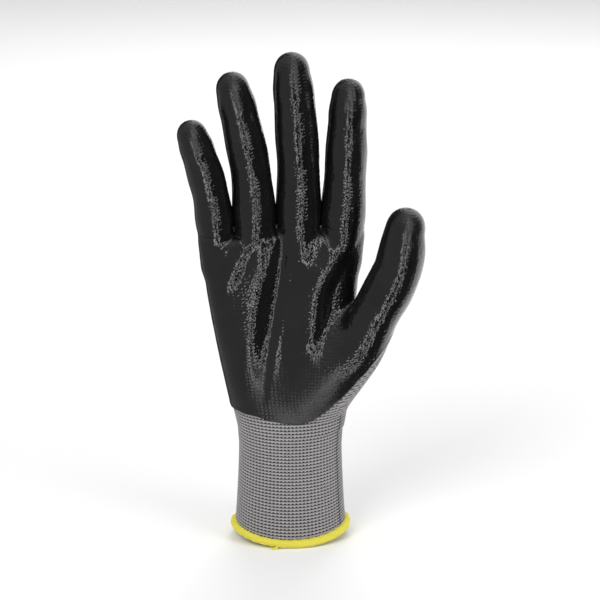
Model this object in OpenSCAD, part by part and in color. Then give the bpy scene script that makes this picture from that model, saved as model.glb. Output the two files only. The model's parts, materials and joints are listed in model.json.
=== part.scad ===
// Palm-coated knitted work glove for the right hand, held open as on a worn hand.
// +Z runs from the hem to the fingertips, -Y is the palm side and +X the thumb side.
// The origin is the centre of the hand opening, level with the hem's lower edge.
// Sizes are millimetres and angles are degrees.

/* [Fabric] */
// Thickness of the knitted liner
liner_t = 1.0; // [0.8:0.1:1.6]
// Thickness of the rubber coating on the liner
coat_t = 0.5; // [0.3:0.1:0.9]
// Gap between two fabric sections along a fold line
fold_gap = 0.4; // [0.3:0.1:0.8]
// Spare angle left on each side of a fold when it is fully bent
fold_spare = 1.5; // [1:0.5:4]

/* [Cuff] */
// Height of the wrist fold above the hem's lower edge
cuff_len = 56; // [44:1:80]
// Outer width of the cuff at its hem
hem_w = 57; // [50:1:74]
// Outer depth of the cuff at its hem
hem_d = 46; // [40:1:60]
// Rise of the hem at its two sides above its front and back
hem_rise = 4.5; // [0:0.5:8]
// Outer width of the cuff at its waist
waist_w = 51.5; // [44:0.5:62]
// Outer depth of the cuff at its waist
waist_d = 40; // [34:1:50]
// Height of the waist above the hem's lower edge
waist_z = 47; // [36:1:54]
// Outer width of the glove at the wrist fold
wrist_w = 53.5; // [45:0.5:64]
// Outer depth of the glove at the wrist fold
wrist_d = 40; // [34:1:50]
// Largest bend of the wrist towards the palm
wrist_flex = 40; // [20:5:60]
// Largest bend of the wrist towards the back
wrist_extend = 35; // [20:5:60]

/* [Hem and elastic] */
// Height of the overlocked hem
hem_h = 4.4; // [3:0.2:7]
// How far the hem's thread stands out from each side of the knit
hem_t = 1.6; // [0.8:0.1:2.4]
// Height of the knit's cut edge inside the hem
hem_core = 1.2; // [0.8:0.1:2]
// Number of turns of elastic yarn laid into the cuff
elastic_turns = 10; // [4:1:14]
// Thickness of the elastic yarn
elastic_t = 0.5; // [0.3:0.1:0.6]
// Height of the lowest turn above the hem
elastic_start = 5; // [4:1:10]
// Spare height left above and below the elastic yarn in its groove
elastic_gap = 0.05; // [0.05:0.05:0.2]
// Distance of the highest turn below the wrist fold
elastic_end = 15; // [13:1:20]

/* [Hand] */
// Length of the hand section from the wrist fold to the finger roots
hand_len = 103; // [90:1:120]
// Sideways shift of the finger row from the middle of the wrist, towards the thumb
row_shift = -5; // [-10:0.2:4]
// Shift of the finger row from the middle of the wrist, towards the back
row_back = 2; // [0:0.5:5]
// Width of the web between two liner fingers
web_w = 1.6; // [1.6:0.1:3]
// Height of the web below the finger roots
web_h = 11; // [8:1:14]
// Bulge of the palm's outline between wrist and finger roots, 0 for a straight line
palm_bulge = 0.5; // [0:0.1:1]
// Gap between the thumb and the edge of the hand
thumb_gap = 1; // [0.6:0.2:3]
// Radius of the ball of the thumb
thenar_r = 16.5; // [14:0.5:20]

/* [Fingers] */
// Section lengths of the little finger, root to tip
little_len = [22, 20, 20]; // [14:0.5:40]
// Section lengths of the ring finger, root to tip
ring_len = [30, 28, 24.5]; // [14:0.5:40]
// Section lengths of the middle finger, root to tip
middle_len = [33, 30, 28]; // [14:0.5:40]
// Section lengths of the index finger, root to tip
index_len = [28, 26, 24]; // [14:0.5:40]
// Section lengths of the thumb, root to tip
thumb_len = [26.5, 33]; // [14:0.5:40]
// Liner diameters of the little finger at root, knuckles and tip
little_w = [17.8, 17.6, 16.2, 14.4]; // [12:0.2:28]
// Liner diameters of the ring finger at root, knuckles and tip
ring_w = [19.2, 19, 18, 16]; // [12:0.2:28]
// Liner diameters of the middle finger at root, knuckles and tip
middle_w = [20.4, 20.2, 19.6, 17.2]; // [12:0.2:28]
// Liner diameters of the index finger at root, knuckles and tip
index_w = [20.2, 20, 18.4, 16]; // [12:0.2:28]
// Liner diameters of the thumb at root, knuckle and tip
thumb_w = [23, 22, 18.6]; // [14:0.2:30]
// Sideways lean of each little finger section, towards the thumb
little_lean = [-5, -15, -19]; // [-25:1:25]
// Sideways lean of each ring finger section, towards the thumb
ring_lean = [-4, -11, -14]; // [-25:1:25]
// Sideways lean of each middle finger section, towards the thumb
middle_lean = [0, -4, -6]; // [-25:1:25]
// Sideways lean of each index finger section, towards the thumb
index_lean = [3, 1, 0]; // [-25:1:25]
// Sideways lean of each thumb section, away from the fingers
thumb_lean = [24, 10]; // [0:1:45]
// Forward curl of each finger section at rest
finger_curl = [3, 8, 13]; // [0:1:20]
// Forward curl of each thumb section at rest
thumb_curl = [10, 12]; // [0:1:25]
// How far each finger root sits below the highest, little to index
root_drop = [3, 0, 0, 1]; // [0:0.5:10]
// Place of the thumb's root: out from the wrist's middle, back, and above the wrist fold
thumb_root = [43, -13.7, 62]; // [-20:0.5:70]
// Turn of the thumb's pad away from the palm's front, towards the fingers
thumb_twist = -45; // [-90:5:-20]

/* [Folds] */
// Largest bend at finger root, middle knuckle and end knuckle
finger_flex = [70, 80, 50]; // [20:5:90]
// Largest backward bend at the finger root
root_extend = 10; // [0:5:15]
// Largest bend at the thumb's root and knuckle
thumb_flex = [25, 55]; // [20:5:80]

/* [Coating] */
// How far the coating reaches behind the middle of a finger
coat_wrap = 4; // [1:0.5:6]
// How far the coating reaches behind the middle of the wrist on the hand
coat_wrap_hand = 3; // [0:0.5:6]
// Turn of the thumb's coating from the thumb's pad back to the palm's front
thumb_coat_turn = 30; // [0:5:45]
// Length of the fully coated fingertip
cap_len = 12; // [8:1:16]
// Lowest point of the coating above the wrist fold
coat_low = 10; // [9:0.5:20]
// Rise of the coating's edge at the little finger side
coat_rise_outer = 5; // [0:1:20]
// Rise of the coating's edge at the thumb side
coat_rise_thumb = 34; // [10:1:45]

/* [Hidden] */
DIGITS = ["little", "ring", "middle", "index", "thumb"];
SECTIONS = ["proximal", "middle", "distal"];

knit_colour = "#9a9697";
rubber_colour = "#272625";
hem_colour = "#dcd34e";
elastic_colour = "#d9d6d0";

thumb = 4;
ring_points = 36;
lap = 2.5;
far = 200;
cuff_square = 2.2;
palm_square = 3;
$fn = 48;

lens = [little_len, ring_len, middle_len, index_len, thumb_len];
widths = [little_w, ring_w, middle_w, index_w, thumb_w];
leans = [little_lean, ring_lean, middle_lean, index_lean, thumb_lean];
root_z = cuff_len + hand_len;

// Finger roots stand side by side in one row, a web apart
row_w = little_w[0] + ring_w[0] + middle_w[0] + index_w[0] + 3 * web_w;
row_left = row_shift - row_w / 2;
row_right = row_shift + row_w / 2;
row_d = max([for (f = [0:3]) widths[f][0]]) + 1;
function root_x(f) = f == 0 ? row_left + widths[0][0] / 2
    : root_x(f - 1) + widths[f - 1][0] / 2 + web_w + widths[f][0] / 2;
function root(f) = f == thumb
    ? [thumb_root[0], thumb_root[1], cuff_len + thumb_root[2]]
    : [root_x(f), row_back, root_z - root_drop[f]];

// Direction of a section that leans sideways and curls towards the palm
function curl(f) = f == thumb ? thumb_curl : finger_curl;
function heading(lean, curl) = [cos(curl) * sin(lean), -sin(curl), cos(curl) * cos(lean)];
function knuckle(f, k) = k == 0 ? root(f)
    : knuckle(f, k - 1) + lens[f][k - 1] * heading(leans[f][k - 1], curl(f)[k - 1]);
function last(f) = len(lens[f]) - 1;

// Lean and curl of the fold at the foot of section k, halfway between its two sections
function fold_lean(f, k) = f != thumb ? 0
    : k == 0 ? leans[f][0] : (leans[f][k - 1] + leans[f][k]) / 2;
function fold_curl(f, k) = k == 0 ? (f == thumb ? curl(f)[0] : curl(f)[0] / 2)
    : (curl(f)[k - 1] + curl(f)[k]) / 2;
function flex(f, k) = f == thumb ? thumb_flex[k] : finger_flex[k];
function extend(f, k) = f != thumb && k == 0 ? root_extend : 0;

// Outline of a flattened tube: half-width a, half-depth b, squareness e
function signed_power(v, p) = sign(v) * pow(abs(v), p);
function outline(centre, a, b, e) = [
    for (i = [0:ring_points - 1]) let (q = 360 * i / ring_points)
        centre + [a * signed_power(cos(q), 2 / e), b * signed_power(sin(q), 2 / e), 0]
];
function mix(a, b, t) = a + (b - a) * t;
function soft(t) = palm_bulge * sin(90 * t) + (1 - palm_bulge) * t;

// Solid skin through a list of outlines, lowest first
module loft(rings) {
    n = len(rings[0]);
    m = len(rings);
    polyhedron(
        points = [for (r = rings) each r],
        faces = [
            [for (j = [0:n - 1]) j],
            for (i = [0:m - 2], j = [0:n - 1]) let (a = i * n, k = (j + 1) % n)
                each [[a + j, a + n + j, a + k], [a + k, a + n + j, a + n + k]],
            [for (j = [n - 1:-1:0]) (m - 1) * n + j]
        ],
        convexity = 6
    );
}

// Everything beyond a fold line that runs along X: two planes meet on the line
module beyond_fold(flex, extend, reach, width) {
    palm_slope = tan(flex / 2 + fold_spare);
    back_slope = tan(extend / 2 + fold_spare);
    foot = -fold_gap / 2;
    rotate([90, 0, 90])
        linear_extrude(width, center = true)
            polygon([
                [0, foot], [reach, foot - reach * back_slope], [reach, 2 * reach],
                [-reach, 2 * reach], [-reach, foot - reach * palm_slope]
            ]);
}

// Solid ring through closed loops of points, one loop for each step around the ring
module band(loops) {
    n = len(loops[0]);
    m = len(loops);
    polyhedron(
        points = [for (r = loops) each r],
        faces = [
            for (i = [0:m - 1], j = [0:n - 1])
                let (a = i * n, b = (i + 1) % m * n, k = (j + 1) % n)
                    each [[a + j, a + k, b + j], [b + j, a + k, b + k]]
        ],
        convexity = 6
    );
}

// Cuff: half-width and half-depth at height z, and a point of its skin at angle q
function flare(z) = max(0, 1 - z / waist_z);
function above_waist(z) = max(0, z - waist_z) / (cuff_len - waist_z);
function girth(waist, hem, wrist, z) =
    (z < waist_z ? mix(waist, hem, pow(flare(z), 1.5)) : mix(waist, wrist, above_waist(z))) / 2;
function cuff_point(z, q, grow) = [
    (girth(waist_w, hem_w, wrist_w, z) + grow) * signed_power(cos(q), 2 / cuff_square),
    (girth(waist_d, hem_d, wrist_d, z) + grow) * signed_power(sin(q), 2 / cuff_square),
    z + hem_rise * pow(cos(q) * flare(z), 2)
];

// Band of the cuff between two heights and between two layers, inner and outer
module cuff_band(low, high, inner, outer, steps) {
    band([
        for (i = [0:ring_points - 1]) let (q = 360 * i / ring_points) [
            for (j = [0:steps]) cuff_point(mix(low, high, j / steps), q, outer),
            for (j = [steps:-1:0]) cuff_point(mix(low, high, j / steps), q, inner)
        ]
    ]);
}

// Elastic turns: yarn seated in grooves of the cuff's inner side
elastic_low = hem_h + elastic_start;
elastic_high = cuff_len - elastic_end;

module elastic_turns(spare, gap) {
    for (i = [0:elastic_turns - 1]) {
        low = mix(elastic_low, elastic_high, i / (elastic_turns - 1));
        cuff_band(low - gap, low + elastic_t + gap, -liner_t - spare, elastic_t - liner_t, 1);
    }
}

module cuff_knit() {
    color(knit_colour)
        difference() {
            cuff_band(hem_core, cuff_len + lap, -liner_t, 0, 8);
            elastic_turns(liner_t, elastic_gap);
            translate([0, 0, cuff_len])
                beyond_fold(wrist_flex, wrist_extend, wrist_d, far);
        }
}

module cuff_elastic_yarn() {
    color(elastic_colour)
        elastic_turns(0, 0);
}

module hem_overlock() {
    color(hem_colour)
        difference() {
            cuff_band(0, hem_h, -liner_t - hem_t, hem_t, 1);
            cuff_band(hem_core, cuff_len + lap, -liner_t, 0, 8);
        }
}

// Hand section: outline at share t of the way from the wrist fold to the finger roots
function hand_ring(t, grow) =
    let (
        left = mix(-wrist_w / 2, row_left, soft(t)),
        right = mix(wrist_w / 2, row_right, t),
        depth = mix(wrist_d, row_d, t) / 2,
        z = mix(cuff_len, root_z, t)
    )
    outline([(left + right) / 2, row_back * t, z], (right - left) / 2 + grow, depth + grow,
        mix(cuff_square, palm_square, t));

module hand_body(grow, low, high) {
    steps = 9;
    loft([for (i = [0:steps]) hand_ring(mix(low, high, i / steps), grow)]);
}

// Ball of the thumb: round tube that swings from the heel of the hand to the thumb's root
thumb_way = heading(thumb_lean[0], thumb_curl[0]);
thenar_foot = [wrist_w / 2 - thenar_r, -2, cuff_len + thenar_r];
thenar_turn = root(thumb) - hand_len / 5 * thumb_way;
function thenar_at(t) = (1 - t) * (1 - t) * thenar_foot + 2 * t * (1 - t) * thenar_turn
    + t * t * root(thumb);
function thenar_way(t) = let (d = (1 - t) * (thenar_turn - thenar_foot)
    + t * (root(thumb) - thenar_turn)) d / norm(d);
function thenar_ring(t, grow) =
    let (
        d = thenar_way(t),
        across = cross([0, 1, 0], d),
        u = across / norm(across),
        v = cross(d, u),
        r = mix(thenar_r, thumb_w[0] / 2, t) + grow,
        sides = ring_points - 8
    )
    [for (i = [0:sides - 1]) let (q = 360 * i / sides)
        thenar_at(t) + r * (cos(q) * u + sin(q) * v)];

module thenar_body(grow, reach) {
    steps = 4;
    end = thenar_ring(1, grow);
    loft([
        for (i = [0:steps]) thenar_ring(i / steps, grow),
        [for (p = end) p + reach * thumb_way]
    ]);
}

module hand_outside(grow) {
    hand_body(grow, 0, 1);
    thenar_body(grow, thumb_w[0] / 2);
    finger_stubs(grow, 0);
}

// Short cones that widen to the finger roots, longer at both ends by a spare length
module finger_stubs(grow, spare) {
    slope = web_w / web_h;
    for (f = [0:3]) {
        r = widths[f][0] / 2 + grow;
        translate(root(f) - [0, 0, web_h + spare])
            cylinder(web_h + 2 * spare, r1 = r - slope * (web_h + spare), r2 = r + slope * spare);
    }
}

// Room around the foot of the thumb, so that it clears the edge of the hand
module thumb_seat(grow) {
    translate(root(thumb))
        at_fold(thumb, 0)
            cylinder(thumb_w[0], d = thumb_w[0] + 2 * (coat_t + thumb_gap + grow));
}

// Everything past the fold lines of the wrist, the finger roots and the thumb's root
module hand_ends() {
    translate([0, 0, cuff_len])
        mirror([0, 0, 1])
            beyond_fold(wrist_flex, wrist_extend, wrist_d, far);
    for (f = [0:3]) {
        half = web_w / 2 + widths[f][0] / 2 + web_w / 8;
        left = f == 0 ? row_left - far : root_x(f) - half;
        right = f == 3 ? row_right + web_w : root_x(f) + half;
        translate([(left + right) / 2, row_back, root(f)[2]])
            rotate([fold_curl(f, 0), 0, 0])
                beyond_fold(finger_flex[0], root_extend, row_d, right - left);
    }
    translate(root(thumb))
        at_fold(thumb, 0)
            intersection() {
                beyond_fold(thumb_flex[0], 0, thumb_w[0], 2 * thumb_w[0]);
                translate([0, 0, -thumb_w[0]])
                    cylinder(3 * thumb_w[0], d = thumb_w[0] + 2 * (coat_t + thumb_gap));
            }
}

module hand_liner() {
    cavity_top = 1 - web_h / hand_len;
    color(knit_colour)
        difference() {
            hand_outside(0);
            difference() {
                hand_body(-liner_t, -0.1, cavity_top);
                thumb_seat(liner_t);
            }
            thenar_body(-liner_t, thumb_w[0]);
            finger_stubs(-liner_t, lap);
            hand_ends();
        }
}

// Front outline of the coated part of the hand, seen from the palm
module coated_front() {
    low = cuff_len + coat_low;
    translate([0, coat_wrap_hand, 0])
        rotate([90, 0, 0])
            linear_extrude(far)
                polygon([
                    [-far, low + coat_rise_outer], [-wrist_w / 2, low + coat_rise_outer],
                    [wrist_w / 10, low], [wrist_w / 2, low + coat_rise_thumb / 3],
                    [wrist_w / 2 + thenar_r, low + coat_rise_thumb], [far, far], [-far, far]
                ]);
}

module palm_coating() {
    color(rubber_colour)
        difference() {
            intersection() {
                hand_outside(coat_t);
                coated_front();
            }
            hand_outside(0);
            finger_stubs(-liner_t, lap);
            hand_ends();
        }
}

// Places its children at the foot of section k of digit f, with Z along the section
module at_section(f, k) {
    translate(knuckle(f, k))
        rotate([0, leans[f][k], 0])
            rotate([curl(f)[k], 0, 0])
                rotate([0, 0, f == thumb ? thumb_twist : 0])
                    children();
}

module at_fold(f, k) {
    rotate([0, fold_lean(f, k), 0])
        rotate([fold_curl(f, k), 0, 0])
            rotate([0, 0, f == thumb ? thumb_twist : 0])
                children();
}

// Solid finger section k of digit f, grown on all sides
module section_body(f, k, grow) {
    foot_r = widths[f][k] / 2 + grow;
    head_r = widths[f][k + 1] / 2 + grow;
    length = lens[f][k];
    tip = k == last(f);
    straight = tip ? length - widths[f][k + 1] / 2 : length + lap;
    at_section(f, k) {
        translate([0, 0, -lap])
            cylinder(straight + lap, r1 = foot_r, r2 = head_r);
        if (tip)
            translate([0, 0, straight])
                sphere(head_r);
    }
}

// Everything past the fold lines at the foot and the head of section k of digit f
module section_ends(f, k) {
    reach = widths[f][k] / 2 + 3;
    translate(knuckle(f, k))
        at_fold(f, k)
            mirror([0, 0, 1])
                beyond_fold(flex(f, k), extend(f, k), reach, 2 * reach);
    if (k < last(f))
        translate(knuckle(f, k + 1))
            at_fold(f, k + 1)
                beyond_fold(flex(f, k + 1), extend(f, k + 1), reach, 2 * reach);
}

module digit_liner(f, k) {
    color(knit_colour)
        difference() {
            section_body(f, k, 0);
            section_body(f, k, -liner_t);
            section_ends(f, k);
        }
}

// The coating wraps the palm side and sides of a section, and all of a fingertip
module digit_coating(f, k) {
    size = 2 * far;
    color(rubber_colour)
        difference() {
            section_body(f, k, coat_t);
            section_body(f, k, 0);
            section_ends(f, k);
            at_section(f, k)
                rotate([0, 0, f == thumb ? thumb_coat_turn : 0])
                    translate([-far, coat_wrap, -far])
                        cube([size, size, far + (k == last(f) ? lens[f][k] - cap_len : far)]);
        }
}

cuff_knit();
cuff_elastic_yarn();
hem_overlock();
hand_liner();
palm_coating();
for (f = [0:thumb], k = [0:last(f)]) {
    stem = str(DIGITS[f], "_", k == last(f) ? SECTIONS[2] : SECTIONS[k]);
    digit_liner(f, k);
    digit_coating(f, k);
}
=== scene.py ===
"""Palm-coated knitted work glove: surfaces, materials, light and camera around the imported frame.

All shapes are worked out in millimetres with numpy, and become metres when they turn into a mesh.
"""
import json
import math

import bpy
import numpy as np
from bpy.props import FloatProperty, FloatVectorProperty, PointerProperty
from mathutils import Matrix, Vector


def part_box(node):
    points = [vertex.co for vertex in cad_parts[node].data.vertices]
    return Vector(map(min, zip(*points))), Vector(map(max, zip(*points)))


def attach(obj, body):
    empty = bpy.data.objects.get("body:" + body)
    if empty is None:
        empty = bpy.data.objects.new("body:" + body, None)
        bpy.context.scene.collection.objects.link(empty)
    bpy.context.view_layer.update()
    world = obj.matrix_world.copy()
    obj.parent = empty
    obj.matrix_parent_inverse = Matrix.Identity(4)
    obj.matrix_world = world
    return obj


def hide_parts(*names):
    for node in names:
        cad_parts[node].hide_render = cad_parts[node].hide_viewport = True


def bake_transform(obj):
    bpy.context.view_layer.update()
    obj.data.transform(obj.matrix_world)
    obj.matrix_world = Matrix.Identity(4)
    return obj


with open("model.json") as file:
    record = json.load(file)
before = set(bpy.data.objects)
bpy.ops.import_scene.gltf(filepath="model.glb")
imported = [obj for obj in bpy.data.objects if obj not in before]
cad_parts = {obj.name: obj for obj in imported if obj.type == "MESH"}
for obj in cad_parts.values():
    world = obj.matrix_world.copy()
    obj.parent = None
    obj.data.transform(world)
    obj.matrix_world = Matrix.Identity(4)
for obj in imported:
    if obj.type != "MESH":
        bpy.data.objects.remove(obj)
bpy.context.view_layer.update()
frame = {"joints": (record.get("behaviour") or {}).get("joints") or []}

bl_info = {
    "name": "Work Glove",
    "version": (1, 0, 0),
    "blender": (4, 5, 0),
    "location": "View3D > Sidebar > Glove",
    "description": "Builds a palm-coated knitted work glove around its packed frame",
    "category": "Add Mesh",
}

MM = 0.001
FINGERS = ("little", "ring", "middle", "index")
DIGITS = FINGERS + ("thumb",)
JOINTS = {joint["child"]: joint for joint in frame["joints"]}
UP = np.array([0.0, 0.0, 1.0])
SIDE = np.array([1.0, 0.0, 0.0])


def box_mm(node):
    """Lowest and highest corner of a CAD node, in millimetres."""
    return [np.array(corner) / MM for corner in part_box(node)]


def place(body):
    """Place of the joint that carries a body, in millimetres."""
    return np.array(JOINTS[body]["pos_m"]) / MM


WRIST = float(place("hand")[2])
HEM_BOX = box_mm("hem_overlock")
CUFF_BOX = box_mm("cuff_knit")
ROOTS = {digit: place(digit + "_proximal") for digit in DIGITS}
ROW = float(ROOTS["middle"][2])

# Outline of the cuff and the hand: half-widths (A) and half-depths (B).
WAIST = WRIST - 9
WAIST_A, WAIST_B = 26.1, 20.0
WRIST_A = 26.75
ROOT_B = 10.4
# Top of the cuff's own knit, and the rise of the courses at the cuff's sides.
CUFF_TOP = WRIST + 18
HEM_RISE = 4.5
# The hem: height of the cuff's edge that it follows, its top, and how far it stands out.
EDGE_Z = 1.0
HEM_TOP = 4.4
HEM_OUT = 2.6
# s at which each digit's own skin begins; below it the hand's skin goes on as a stump.
STUMP = {"little": 3.0, "ring": 3.0, "middle": 3.0, "index": 3.0, "thumb": 9.0}
# How far the bare knit runs on under the film, and how far the film's rim sinks into the glove.
OVERLAP = 2.5
RIM_DROP = 0.35
# Height of a stitch's upright legs, as a share of its bar's height.
LEG = 0.56
# Coarse triangle size of the hand's skin, before it is refined.
VOXEL = 1.1


# ---------------------------------------------------------------- sizes a user may change

class GloveShape(bpy.types.PropertyGroup):
    """Sizes of the glove's skin, in millimetres."""

    little_r: FloatVectorProperty(
        name="Little finger", description="Radius at root, knuckles and tip", size=4,
        default=(7.8, 8.5, 8.1, 7.3))
    ring_r: FloatVectorProperty(
        name="Ring finger", description="Radius at root, knuckles and tip", size=4,
        default=(9.6, 9.5, 9.0, 8.0))
    middle_r: FloatVectorProperty(
        name="Middle finger", description="Radius at root, knuckles and tip", size=4,
        default=(10.2, 10.1, 9.8, 8.6))
    index_r: FloatVectorProperty(
        name="Index finger", description="Radius at root, knuckles and tip", size=4,
        default=(10.1, 10.0, 9.2, 8.0))
    thumb_r: FloatVectorProperty(
        name="Thumb", description="Radius at ball, foot, root, knuckle and tip", size=5,
        default=(16.5, 14.0, 11.9, 11.7, 9.6))
    little_in: FloatProperty(
        name="Little finger's root", description="How far its skin lies inwards of its root joint",
        default=0.9, min=0, max=2)
    thumb_in: FloatProperty(
        name="Thumb lean", description="How far the thumb's skin lies inwards of its joints",
        default=2.4, min=0, max=5)
    film_t: FloatProperty(
        name="Film", description="Thickness of the rubber film", default=0.45, min=0.2, max=1)
    wrap: FloatProperty(
        name="Wrap", description="How far the film reaches behind a finger's middle",
        default=4.0, min=0, max=6)
    cap: FloatProperty(
        name="Tip cap", description="Length of a fingertip that is coated all round",
        default=12.0, min=8, max=18)


class GloveKnit(bpy.types.PropertyGroup):
    """Gauge and relief of the knit, in millimetres."""

    wale: FloatProperty(
        name="Wale", description="Width of one stitch", default=2.0, min=1, max=4)
    course: FloatProperty(
        name="Course", description="Height of one stitch", default=1.66, min=1, max=4)
    relief: FloatProperty(
        name="Relief", description="Depth of the holes between stitches", default=0.42,
        min=0, max=1)
    wall: FloatProperty(
        name="Wall", description="Thickness of the knit", default=0.9, min=0.4, max=2)


class GloveColours(bpy.types.PropertyGroup):
    """Colours of the glove."""

    yarn: FloatVectorProperty(
        name="Yarn", description="Light side of the liner's yarn", subtype="COLOR",
        default=(0.40, 0.385, 0.39))
    # Painted shade: hole is the near-black colour put into the holes between the knit's stitches.
    hole: FloatVectorProperty(
        name="Painted_Hole_Shade", description="Dark between the stitches", subtype="COLOR",
        default=(0.013, 0.012, 0.0125))
    film: FloatVectorProperty(
        name="Film", description="Rubber film", subtype="COLOR",
        default=(0.0045, 0.0043, 0.0042))
    hem: FloatVectorProperty(
        name="Hem", description="Overlock thread", subtype="COLOR", default=(0.74, 0.66, 0.055))


def shape():
    """The scene's sizes of the glove's skin."""
    return bpy.context.scene.glove_shape


def knit():
    """The scene's gauge and relief of the knit."""
    return bpy.context.scene.glove_knit


def colours():
    """The scene's colours of the glove."""
    return bpy.context.scene.glove_colours


# ---------------------------------------------------------------- numpy helpers

def unit(v):
    """Vectors divided by their lengths."""
    return v / np.maximum(np.linalg.norm(v, axis=-1, keepdims=True), 1e-9)


def ease(t):
    """0 below 0, 1 above 1, and 3t^2 - 2t^3 between."""
    t = np.clip(t, 0, 1)
    return t * t * (3 - 2 * t)


def bump(x, centre, width):
    """Bell curve exp(-((x - centre) / width)^2)."""
    return np.exp(-((x - centre) / width) ** 2)


def smooth_min(a, b, k):
    """Smaller of a and b, rounded over where they differ by less than k."""
    h = np.clip(0.5 + 0.5 * (b - a) / k, 0, 1)
    return b * (1 - h) + a * h - k * h * (1 - h)


def spline(knots, samples):
    """Catmull-Rom curve through the rows of knots; returns points spaced by chord share."""
    knots = np.asarray(knots, float)
    ends = [2 * knots[:1] - knots[1:2], knots, 2 * knots[-1:] - knots[-2:-1]]
    padded = np.vstack(ends)
    chord = np.linalg.norm(np.diff(knots[:, :3], axis=0), axis=1)
    reach = np.concatenate([[0], np.cumsum(chord)])
    at = np.linspace(0, reach[-1], samples)
    i = np.clip(np.searchsorted(reach, at, side="right") - 1, 0, len(knots) - 2)
    t = ((at - reach[i]) / chord[i])[:, None]
    p0, p1, p2, p3 = (padded[i + k] for k in range(4))
    return 0.5 * (2 * p1 + (p2 - p0) * t + (2 * p0 - 5 * p1 + 4 * p2 - p3) * t ** 2
                  + (3 * p1 - p0 - 3 * p2 + p3) * t ** 3)


# ---------------------------------------------------------------- digits

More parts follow.
